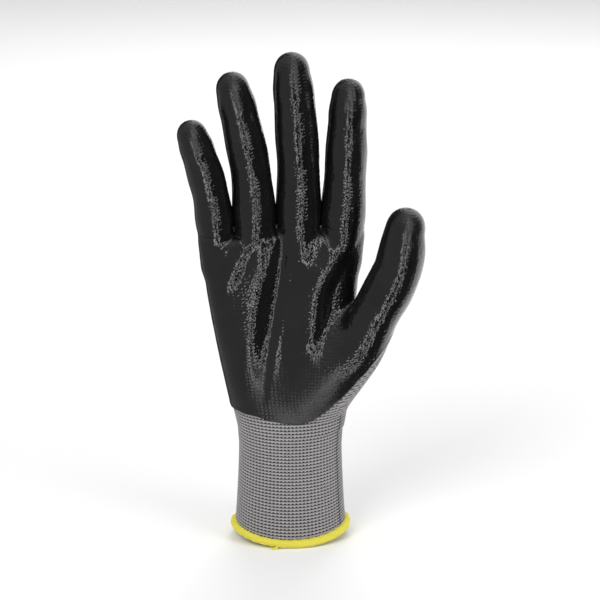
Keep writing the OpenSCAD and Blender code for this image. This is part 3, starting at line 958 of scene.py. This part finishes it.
def digit_film(digit, low, high):
    """Film of a digit from s = low to high: a grid of s and turn, whose turn spans the film."""
    rows, sunk = foot_rows(digit_rows(low, high, 0.6), low == STUMP[digit.name])
    columns = 96
    share = np.linspace(-1, 1, columns)
    edge = digit.edge(rows)
    turn = film_centre(digit.name) + share[None, :] * edge[:, None]
    s = np.repeat(rows[:, None], columns, 1)
    capped = edge > math.pi - 1e-3
    from_edge = (1 - np.abs(share))[None, :] * edge[:, None] * digit.tip_r
    lip = np.where(capped[:, None], 1, 1 + 0.25 * bump(from_edge, 1.2, 0.8))
    lift = shape().film_t * lip + film_folds(digit, s, turn) - sunk[:, None]
    skin, _ = digit.skin(s, turn, lift)
    under, _ = digit.skin(s[:, [0, -1]], turn[:, [0, -1]],
                          np.where(capped, lift[:, 0], -0.3)[:, None])
    points = np.concatenate([under[:, :1], skin, under[:, 1:]], 1)
    u = (ROOTS[digit.name][0] + digit.tip_r * turn) / knit().wale
    u = np.concatenate([u[:, :1], u, u[:, -1:]], 1)
    v = np.repeat(s[:, :1], columns + 2, 1) / knit().course
    shown = np.ones(u.shape) * ease((digit.end - s[:, :1] - 5) / 20)
    faces = grid_faces(len(rows), columns + 2, flip=True)
    return points.reshape(-1, 3), faces, np.column_stack([u.ravel(), v.ravel()]), shown.ravel()


def digit_knit(digit, low, high):
    """Bare knit on a digit's back: a grid that reaches OVERLAP past both of the film's edges."""
    rows, sunk = foot_rows(digit_rows(low, high, knit().course / 4), low == STUMP[digit.name])
    half = np.maximum(math.pi - digit.edge(rows), 0.02) + OVERLAP / digit.tip_r
    columns = 72
    share = np.linspace(-1, 1, columns)
    turn = film_centre(digit.name) + math.pi + share[None, :] * half[:, None]
    s = np.repeat(rows[:, None], columns, 1)
    u = digit.tip_r * turn / knit().wale
    v = s / knit().course
    points, _ = digit.skin(s, turn, stitch_lift(u, v) - sunk[:, None])
    faces = grid_faces(len(rows), columns, flip=True)
    return points.reshape(-1, 3), faces, np.column_stack([u.ravel(), v.ravel()])


def weld(points, faces, extra):
    """Points closer than a thousandth of a millimetre made one, and flat faces dropped."""
    keys = np.round(points * 1000).astype(np.int64)
    _, first, back = np.unique(keys, axis=0, return_index=True, return_inverse=True)
    faces = back.ravel()[faces]
    if faces.shape[1] == 4:
        faces = np.vstack([faces[:, [0, 1, 2]], faces[:, [0, 2, 3]]])
    flat = (faces == np.roll(faces, 1, axis=1)).any(1)
    return points[first], faces[~flat], [value[first] for value in extra]


def ring_table():
    """Share of the way round the glove's outline, for a table of heights and angles."""
    heights = np.linspace(0, ROW + 8, 60)
    angles = np.linspace(-np.pi, np.pi, 721)
    _, _, a, b, e = section_columns(heights)
    reach = outline_reach(angles, e)
    x, y = a * reach * np.cos(angles), b * reach * np.sin(angles)
    step = np.hypot(np.diff(x, axis=1), np.diff(y, axis=1))
    run = np.concatenate([np.zeros((len(heights), 1)), np.cumsum(step, 1)], 1)
    return heights, angles, run / run[:, -1:]


def around(points):
    """Share of the way round the glove at each point, from its table by bilinear mixing.

    On the flat front and back a point counts as the outline's point at the same x, so that the
    wales run straight over the finger roots; at the sides its own direction counts.
    """
    heights, angles, share = ring_table()
    cx, cy, a, b, e = hand_section(points[:, 2])
    across, deep = (points[:, 0] - cx) / a, (points[:, 1] - cy) / b
    flat = np.sign(deep) * (1 - np.minimum(np.abs(across), 1) ** e) ** (1 / e)
    aside = ease((np.abs(across) - 0.75) / 0.25)
    angle = np.arctan2(flat * (1 - aside) + deep * aside, across)
    row = np.clip((points[:, 2] - heights[0]) / (heights[1] - heights[0]),
                  0, len(heights) - 1.001)
    column = np.clip((angle - angles[0]) / (angles[1] - angles[0]), 0, len(angles) - 1.001)
    i, j = row.astype(int), column.astype(int)
    f, g = row - i, column - j
    low = share[i, j] * (1 - g) + share[i, j + 1] * g
    high = share[i + 1, j] * (1 - g) + share[i + 1, j + 1] * g
    return low * (1 - f) + high * f


def course_rise(z, angle):
    """How much higher a course lies at the glove's sides than at its front and back.

    HEM_RISE cos^2(angle) (1 + flare) / 2 with flare = (1 - z / WAIST)^2; it fades out above the
    cuff.
    """
    flare = np.clip(1 - z / WAIST, 0, 1) ** 2
    fade = 1 - ease((z - CUFF_TOP) / 30)
    return HEM_RISE * np.cos(angle) ** 2 * (1 + flare) / 2 * fade


def course_z(points):
    """Height of the course that passes through each point."""
    cx, cy, a, b, _ = hand_section(points[:, 2])
    angle = np.arctan2((points[:, 1] - cy) / b, (points[:, 0] - cx) / a)
    return points[:, 2] - course_rise(points[:, 2], angle)


def wales():
    """Number of stitches round the cuff."""
    return int(round(160 / knit().wale))


def past_hand(info):
    """How far a place on the ball of the thumb lies outside the hand's own outline."""
    return np.clip(info["hand"], 0, None) * ease(2 * info["thumb_share"])


def hand_uv(points, past, way):
    """Stitches across and up. Over the thumb the count goes on outwards: way is 1 or -1."""
    return np.column_stack([wales() * around(points) + way * past / knit().wale,
                            course_z(points) / knit().course])


def base_skin(digits):
    """Closed triangle skin of the hand with short finger and thumb stumps.

    Rough closed tubes are joined by a voxel remesh, and every point then moves onto the smooth
    distance field of the glove.
    """
    turn = np.linspace(0, 2 * np.pi, 64, endpoint=False)
    heights = np.linspace(WRIST + 2, ROW - 4, 40)
    cx, cy, a, b, e = section_columns(heights)
    reach = outline_reach(turn, e)
    tubes = [np.stack([cx + a * reach * np.cos(turn), cy + b * reach * np.sin(turn),
                       np.repeat(heights[:, None], len(turn), 1)], -1)]
    for name, digit in digits.items():
        low = digit.s[0] if name == "thumb" else -12
        s = np.linspace(low, STUMP[name] + 4, 30)
        grid, _ = digit.skin(np.repeat(s[:, None], len(turn), 1),
                             np.repeat(turn[None], len(s), 0))
        tubes.append(grid)
    points, faces, count = [], [], 0
    for grid in tubes:
        rows, columns = grid.shape[:2]
        points.append(grid.reshape(-1, 3))
        sides = grid_faces(rows, columns, closed=True)
        faces += (sides + count).tolist()
        faces.append((np.arange(columns)[::-1] + count).tolist())
        faces.append((np.arange(columns) + (rows - 1) * columns + count).tolist())
        count += rows * columns
    mesh = bpy.data.meshes.new("rough")
    mesh.from_pydata((np.vstack(points) * MM).tolist(), [], faces)
    rough = bpy.data.objects.new("rough", mesh)
    bpy.context.scene.collection.objects.link(rough)
    remesh = rough.modifiers.new("voxels", "REMESH")
    remesh.mode = "VOXEL"
    remesh.voxel_size = VOXEL * MM
    evaluated = rough.evaluated_get(bpy.context.evaluated_depsgraph_get())
    skin = evaluated.to_mesh()
    skin.calc_loop_triangles()
    points = np.empty(len(skin.vertices) * 3, np.float32)
    skin.vertices.foreach_get("co", points)
    triangles = np.empty(len(skin.loop_triangles) * 3, np.int32)
    skin.loop_triangles.foreach_get("vertices", triangles)
    evaluated.to_mesh_clear()
    bpy.data.objects.remove(rough)
    points = points.reshape(-1, 3).astype(float) / MM
    triangles = triangles.reshape(-1, 3)
    centre = np.array([0, ROOTS["middle"][1], (WRIST + ROW) / 2])
    out = vertex_normals(points, triangles)
    if ((points - centre) * out).sum() < 0:
        triangles = triangles[:, ::-1]
    return settle(points, digits), triangles


def stump_level(points, info):
    """Positive on the hand, negative past the cut where each digit's own skin begins."""
    touch = 3.0     # distance from a digit within which a place belongs to it
    level = np.full(len(points), 99.0)
    for k, name in enumerate(FINGERS):
        near = (info["which"] == k) & (info["finger"] < touch)
        near &= points[:, 2] > ROOTS[name][2] - 9
        level = np.where(near, np.minimum(level, STUMP[name] - info["finger_s"]), level)
    near = (info["thumb"] < touch) & (info["thumb_s"] > -4)
    return np.where(near, np.minimum(level, STUMP["thumb"] - info["thumb_s"]), level)


def film_level(points, info, digits):
    """Positive where the film covers the hand: in front of a line a little behind its middle."""
    x, y, z = points.T
    hand = shape().wrap + hand_section(z)[1] - y
    thumb = digits["thumb"]
    centre, _, _, side, palm = thumb.at(info["thumb_s"])
    turned = palm * math.cos(film_centre("thumb")) + side * math.sin(film_centre("thumb"))
    own = shape().wrap + ((points - centre) * turned).sum(1)
    share = info["thumb_share"] * ease((info["thumb_s"] + 34) / 24)
    level = hand * (1 - share) + own * share
    wobble = 0.25 * np.sin(x / 1.7) * np.sin(z / 2.3) + 0.2 * np.sin(x / 4.1 + z / 3)
    return np.minimum(level, z - film_foot(x)) + wobble


def build_hand():
    """The hand's film, its bare knit and the knit's inner side, with short digit stumps."""
    digits = {name: Digit(name) for name in DIGITS}
    points, triangles = base_skin(digits)
    points, triangles, _ = clip(points, triangles, points[:, 2] - (WRIST + 5), {})
    points, triangles, _ = weld(points, triangles, [])
    coarse = points, triangles
    points, triangles = refine(points, triangles)
    points = settle(points, digits, 2)
    info = glove_field(points, digits)
    points, triangles, _ = clip(points, triangles, stump_level(points, info), {})
    normals = field_normal(points, digits)
    info = glove_field(points, digits)
    level = film_level(points, info, digits)
    carried = {"normal": normals, "level": level, "past": past_hand(info)}

    film, faces, extra = clip(points, triangles, level, carried)
    out = unit(extra["normal"])
    front = ease((-out[:, 1] - 0.15) / 0.35)
    lip = 0.30 * bump(extra["level"], 1.2, 0.9)
    folds = palm_folds(film[:, 0], film[:, 2])
    high = glove_field(film, digits)
    clear = ease((high["thumb"] - 1) / 9)
    stump = ease((STUMP["little"] - high["finger_s"]) / 12)
    free = np.where(high["finger"] < 2, stump, 1)
    lift = shape().film_t + lip * 0.6 + folds * front * clear * free * ease(extra["level"] / 3)
    film = film + out * lift[:, None]
    uv = hand_uv(film, extra["past"], 1)
    shown = ease((film[:, 2] - WRIST - 20) / 28)
    film, faces, ring = film_shell(film, vertex_normals(film, faces), faces,
                                   np.abs(extra["level"]) < 1e-6)
    uv, shown = np.vstack([uv, uv[ring]]), np.concatenate([shown, shown[ring]])
    palm = make_object("palm_film", film, faces, "rubber_film", uv, {"print": shown}, wales())
    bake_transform(palm)
    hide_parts("palm_coating")

    bare, faces, extra = clip(points, triangles, OVERLAP - level, carried)
    over = course_z(bare) - CUFF_TOP + 12 * ease((extra["past"] - 0.1) / 0.3)
    bare, faces, extra = clip(bare, faces, over, extra)
    out = unit(extra["normal"])
    uv = hand_uv(bare, extra["past"], -1)
    back = make_object("back_knit", bare + out * stitch_lift(*uv.T)[:, None], faces, "grey_knit",
                       uv, span=wales())
    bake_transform(back)
    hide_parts("hand_liner")

    inner, faces = coarse
    info = glove_field(inner, digits)
    stay = np.minimum(stump_level(inner, info), inner[:, 2] - (CUFF_TOP - 6))
    inner, faces, extra = clip(inner, faces, stay, {"normal": field_normal(inner, digits),
                                                    "past": past_hand(info)})
    out = unit(extra["normal"])
    folds = np.minimum(palm_folds(inner[:, 0], inner[:, 2]), 0) * ease((-out[:, 1] - 0.1) / 0.3)
    inner = inner + out * (folds - knit().wall - 0.3)[:, None]
    lining = make_object("inner_knit", inner, faces[:, ::-1], "grey_knit",
                         hand_uv(inner, extra["past"], -1), span=wales())
    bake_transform(lining)


def bend_zones(digit):
    """Low and high s of a stretch for each section of a digit, root first; the digit's pieces meet
    at the low ends after the first.
    """
    start, knuckle = STUMP[digit.name], digit.folds[1]
    if digit.name == "thumb":
        return [(start, knuckle - 6), (knuckle - 6, knuckle + 6)]
    end_knuckle = digit.folds[2]
    return [(start + 0.5, knuckle - 8), (knuckle - 8, knuckle + 8),
            (end_knuckle - 5, end_knuckle + 5)]


def build_digits():
    """Film and bare knit of every digit, in one piece for each body of its chain, cut a little
    below the folds.
    """
    for name in DIGITS:
        digit = Digit(name)
        zones = bend_zones(digit)
        stops = [STUMP[name]] + [low for low, _ in zones[1:]] + [digit.end]
        for k, body in enumerate(digit.chain):
            film, faces, uv, shown = digit_film(digit, stops[k], stops[k + 1])
            film, faces, (uv, shown) = weld(film, faces, [uv, shown])
            skin = make_object(body + "_film", film, faces, "rubber_film", uv, {"print": shown})
            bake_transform(skin)
            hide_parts(body + "_coating")
            top = min(stops[k + 1], digit.length - shape().cap + 2)
            if top - stops[k] < 2:
                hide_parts(body + "_liner")
                continue
            bare, faces, uv = digit_knit(digit, stops[k], top)
            cloth = make_object(body + "_knit", bare, faces, "grey_knit", uv)
            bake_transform(cloth)
            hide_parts(body + "_liner")


def cuff_outline(z, share, lift):
    """Points of the cuff's skin at height z and share of the way round it, with course_rise."""
    heights, angles, table = ring_table()
    nearest = [np.argmin(np.abs(heights - height)) for height in z]
    angle = np.array([np.interp(share, table[line], angles) for line in nearest])
    cx, cy, a, b, e = section_columns(z)
    reach = outline_reach(angle, e)
    x = cx + (a * reach + lift) * np.cos(angle)
    y = cy + (b * reach + lift) * np.sin(angle)
    return np.stack([x, y, z[:, None] + course_rise(z[:, None], angle)], -1)


def cuff_grid(z, columns):
    """Shares of the way round, and stitches across and up, of a grid on the cuff."""
    share = np.arange(columns) / columns
    u = wales() * share[None, :] + np.zeros((len(z), 1))
    v = (z / knit().course)[:, None] + np.zeros((1, columns))
    return share, u, v


def build_cuff():
    """The cuff's knit as real relief: six points across and four up each stitch."""
    across, up = 6, 4
    low, high = 1.5, CUFF_TOP
    rows, columns = int((high - low) / knit().course * up), wales() * across
    z = np.linspace(low, high, rows)
    share, u, v = cuff_grid(z, columns)
    # A ladder of looser stitches: deeper holes in the relief, and a wider hole mask with more
    # painted shade.
    ladder = bump((share - 0.42) * wales(), -0.1, 0.45)[None] * np.ones((rows, 1))
    outer = cuff_outline(z, share, stitch_lift(u, v) * (1 + 0.5 * ladder))
    cuff = make_object("cuff_rib", outer.reshape(-1, 3), grid_faces(rows, columns, closed=True),
                       "grey_knit", np.column_stack([u.ravel(), v.ravel()]),
                       {"ladder": ladder.ravel()}, wales())
    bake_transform(cuff)
    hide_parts("cuff_knit")

    rows, columns = 60, 240
    z = np.linspace(low, high, rows)
    share, u, v = cuff_grid(z, columns)
    inner = cuff_outline(z, share, -knit().wall)
    lining = make_object("cuff_inside", inner.reshape(-1, 3),
                         grid_faces(rows, columns, closed=True, flip=True), "grey_knit",
                         np.column_stack([u.ravel(), v.ravel()]), span=wales())
    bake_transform(lining)
    elastic = bpy.data.objects["cuff_elastic_yarn"]
    for slot in elastic.material_slots:
        slot.material = bpy.data.materials["elastic_yarn"]


def edge_line(share, out):
    """Points of the cuff's edge at shares of the way round it, moved outwards by out."""
    return cuff_outline(np.array([EDGE_Z]), share, out)[0]


def flattened(v):
    """A sine or cosine v made fuller, sign(v) |v|^0.75, so that a circle becomes a flat loop."""
    return np.sign(v) * np.abs(v) ** 0.75


def hem_path(turns, samples, phase, reach):
    """Path of an overlock thread: it winds round the cuff's edge while it runs along it.

    At each turn the thread goes up outside, over the knit, down inside and under the edge, as a
    flat loop whose size comes from HEM_TOP and HEM_OUT; reach scales it.
    """
    t = np.linspace(0, 1, turns * samples, endpoint=False)
    wind = 2 * np.pi * (turns * t + phase)
    height = HEM_TOP / 2
    share = np.mod(t + 0.30 * np.sin(wind) / turns, 1)
    outline = edge_line(share, 0)
    out = unit((edge_line(share, 1) - outline) * np.array([1, 1, 0]))
    uneven = 0.12 * np.sin(t * 211) + 0.10 * np.sin(t * 517 + 1)
    move = (reach * (HEM_OUT - 0.6) + uneven) * flattened(np.cos(wind)) - 0.45
    rise = height + (reach * (height - 0.55) + uneven) * flattened(np.sin(wind))
    path = outline + out * move[:, None]
    path[:, 2] += rise - EDGE_Z
    return path


def build_hem():
    """Yellow overlock: a wound thread, a second one between its turns, a core and a loose tail."""
    turns, samples, thread_r, sides = 84, 18, 0.56, 7
    points, faces, uv, count = [], [], [], 0
    for phase, reach in ((0.0, 1.0), (0.5, 0.96)):
        path = hem_path(turns, samples, phase, reach)
        p, f, w = tube_along(path, thread_r, sides, closed=True)
        points.append(p)
        faces.append(f + count)
        uv.append(w)
        count += len(p)
    wound = make_object("hem_thread", np.vstack(points), np.vstack(faces), "hem_thread",
                        np.vstack(uv))
    stations, sides = 240, 16
    middle = edge_line(np.arange(stations) / stations, -0.45)
    turn = np.linspace(0, 2 * np.pi, sides, endpoint=False)
    out = unit(middle * np.array([1, 1, 0]))
    ring = middle[:, None] + (HEM_OUT - 0.7) * np.cos(turn)[None, :, None] * out[:, None]
    height = HEM_TOP / 2
    ring = ring + ((height - 0.6) * np.sin(turn) + height - EDGE_Z)[None, :, None] * UP
    looped = np.concatenate([ring, ring[:1]])
    core, faces, _ = weld(looped.reshape(-1, 3),
                          grid_faces(stations + 1, sides, closed=True, flip=True), [])
    core_uv = np.column_stack([core[:, 0] * 2, core[:, 2]])
    filled = make_object("hem_core", core, faces, "hem_thread", core_uv)
    front = HEM_BOX[0][1]
    knots = np.array([[-8.4, front + 1.7, 2.4], [-9.0, front + 0.5, 1.5],
                      [-10.0, front + 0.1, 0.9], [-11.2, front, 0.62], [-12.2, front + 0.2, 0.6]])
    steps = 40
    tail_path = spline(knots, steps)
    radius = 0.52 * (1 - 0.35 * np.linspace(0, 1, steps) ** 3)
    p, f, w = tube_along(tail_path, radius, 10)
    tail = make_object("hem_tail", p, f, "hem_thread", w)
    for piece in (wound, filled, tail):
        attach(piece, "cuff")
    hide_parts("hem_overlock")


# ---------------------------------------------------------------- stage

def glossy_world():
    """World whose reflections depend on the compass direction, as a tent with dark openings.

    The angle runs from the palm's side towards the thumb's side. The camera sees plain white, and
    diffuse light comes evenly from all round.
    """
    world = bpy.data.worlds.new("studio")
    bpy.context.scene.world = world
    world.use_nodes = True
    world.node_tree.nodes.clear()
    t = Tree(world.node_tree)
    out = t.add("ShaderNodeOutputWorld")
    where = t.add("ShaderNodeTexCoord")
    split = t.add("ShaderNodeSeparateXYZ", {0: where.outputs["Generated"]})
    angle = t.math("ARCTAN2", split.outputs[0], t.math("MULTIPLY", split.outputs[1], -1.0))
    angle = t.math("MULTIPLY", angle, 180 / math.pi)

    def strip(low, high, soft, strength):
        """Light between two angles, with soft edges."""
        rise = t.ramp(angle, low - soft, low + soft)
        fall = t.ramp(angle, high - soft, high + soft, 1.0, 0.0)
        return t.math("MULTIPLY", t.math("MULTIPLY", rise, fall), strength)

    shift = t.ramp(split.outputs[2], -0.34, -0.06, 0.0, 16.0)
    angle = t.math("SUBTRACT", angle, shift)
    parts = [strip(-150, -13, 5, 0.42), strip(-15, -7, 1.5, 5.6), strip(10, 18, 2, 4.4),
             strip(84, 172, 12, 2.0), strip(40, 100, 20, 0.05)]
    total = 0.015
    for part in parts:
        total = t.math("ADD", part, total)
    above = t.ramp(split.outputs[2], 0.35, 0.85)
    total = t.math("ADD", t.math("MULTIPLY", above, 0.24), total)
    path = t.add("ShaderNodeLightPath")
    even = t.math("MULTIPLY", path.outputs["Is Diffuse Ray"], 0.62)
    strength = t.math("ADD", t.math("MULTIPLY", total, path.outputs["Is Glossy Ray"]), even)
    strength = t.math("ADD", strength, t.math("MULTIPLY", path.outputs["Is Camera Ray"], 0.98))
    back = t.add("ShaderNodeBackground", {"Color": (1, 1, 1, 1), "Strength": strength})
    t.feed(out.inputs["Surface"], back.outputs[0])


def aim(piece, target):
    """Turns a light or camera so that it looks at a point."""
    away = Vector(piece.location) - Vector(target)
    piece.rotation_euler = away.to_track_quat("Z", "Y").to_euler()


def soft_light(name, place_m, target, size, power):
    """Square area light in metres and watts, not seen in reflections."""
    light = bpy.data.lights.new(name, "AREA")
    light.shape = "SQUARE"
    light.size = size
    light.energy = power
    lamp = bpy.data.objects.new(name, light)
    lamp.location = place_m
    lamp.visible_glossy = False
    lamp.visible_camera = False
    bpy.context.scene.collection.objects.link(lamp)
    aim(lamp, target)


def build_stage():
    """Pale floor, soft light and the camera."""
    glossy_world()
    edge = 7.0
    corners = np.array([[-edge, -edge, 0], [edge, -edge, 0], [edge, edge, 0], [-edge, edge, 0]])
    floor = make_object("floor", corners / MM, [[0, 1, 2, 3]], "pale_floor")
    floor.visible_glossy = False
    middle, size = (0.0, 0.0, 0.12), 0.9
    soft_light("key_light", (-0.9, -1.3, 1.3), middle, size, 16)
    soft_light("fill_light", (1.2, -1.1, 0.8), middle, size, 9)
    soft_light("back_light", (0.3, 1.4, 1.2), middle, size, 10)
    camera = bpy.data.cameras.new("camera")
    camera.lens = 144
    camera.sensor_width = 36
    eye = bpy.data.objects.new("camera", camera)
    azimuth, elevation, distance = math.radians(6), math.radians(15), 1.2
    away = Vector((-math.sin(azimuth) * math.cos(elevation),
                   -math.cos(azimuth) * math.cos(elevation), math.sin(elevation)))
    target = Vector((0.005, 0.0005, 0.123))
    eye.location = target + away * distance
    bpy.context.scene.collection.objects.link(eye)
    aim(eye, target)
    bpy.context.scene.camera = eye
    bpy.context.scene.view_settings.view_transform = "Standard"


# ---------------------------------------------------------------- add-on

class GLOVE_OT_materials(bpy.types.Operator):
    """Make the glove's materials."""

    bl_idname = "glove.materials"
    bl_label = "Materials"

    def execute(self, context):
        stitch_group()
        dust_group()
        film_material()
        knit_material()
        thread_material("hem_thread", tuple(colours().hem))
        thread_material("elastic_yarn", (0.62, 0.60, 0.56), 5.0)
        floor_material()
        return {"FINISHED"}


class GLOVE_OT_hand(bpy.types.Operator):
    """Build the palm's film, the back's knit and the lining of the hand."""

    bl_idname = "glove.hand"
    bl_label = "Hand"

    def execute(self, context):
        build_hand()
        return {"FINISHED"}


class GLOVE_OT_digits(bpy.types.Operator):
    """Build the film and the knit of the four fingers and the thumb."""

    bl_idname = "glove.digits"
    bl_label = "Fingers and thumb"

    def execute(self, context):
        build_digits()
        return {"FINISHED"}


class GLOVE_OT_cuff(bpy.types.Operator):
    """Build the knitted cuff and finish its elastic yarn."""

    bl_idname = "glove.cuff"
    bl_label = "Cuff"

    def execute(self, context):
        build_cuff()
        return {"FINISHED"}


class GLOVE_OT_hem(bpy.types.Operator):
    """Build the overlocked hem and its loose thread end."""

    bl_idname = "glove.hem"
    bl_label = "Hem"

    def execute(self, context):
        build_hem()
        return {"FINISHED"}


class GLOVE_OT_stage(bpy.types.Operator):
    """Set up the floor, the lights and the camera."""

    bl_idname = "glove.stage"
    bl_label = "Stage"

    def execute(self, context):
        build_stage()
        return {"FINISHED"}


OPERATORS = (GLOVE_OT_materials, GLOVE_OT_stage, GLOVE_OT_cuff, GLOVE_OT_hem, GLOVE_OT_hand,
             GLOVE_OT_digits)


class GLOVE_PT_panel(bpy.types.Panel):
    """Buttons and sizes of the glove."""

    bl_idname = "GLOVE_PT_panel"
    bl_label = "Work glove"
    bl_space_type = "VIEW_3D"
    bl_region_type = "UI"
    bl_category = "Glove"

    def draw(self, context):
        for operator in OPERATORS:
            self.layout.operator(operator.bl_idname)
        for name, group in (("glove_shape", GloveShape), ("glove_knit", GloveKnit),
                            ("glove_colours", GloveColours)):
            for key in group.__annotations__:
                self.layout.prop(getattr(context.scene, name), key)


CLASSES = (GloveShape, GloveKnit, GloveColours) + OPERATORS + (GLOVE_PT_panel,)


def register():
    """Registers the classes and the scene's properties."""
    for cls in CLASSES:
        bpy.utils.register_class(cls)
    bpy.types.Scene.glove_shape = PointerProperty(type=GloveShape)
    bpy.types.Scene.glove_knit = PointerProperty(type=GloveKnit)
    bpy.types.Scene.glove_colours = PointerProperty(type=GloveColours)


def unregister():
    """Takes away what register added."""
    del bpy.types.Scene.glove_colours
    del bpy.types.Scene.glove_knit
    del bpy.types.Scene.glove_shape
    for cls in reversed(CLASSES):
        bpy.utils.unregister_class(cls)


def main():
    """Builds the glove by its operators."""
    register()
    bpy.ops.glove.materials()
    bpy.ops.glove.stage()
    bpy.ops.glove.cuff()
    bpy.ops.glove.hem()
    bpy.ops.glove.hand()
    bpy.ops.glove.digits()


if __name__ == "__main__":
    main()
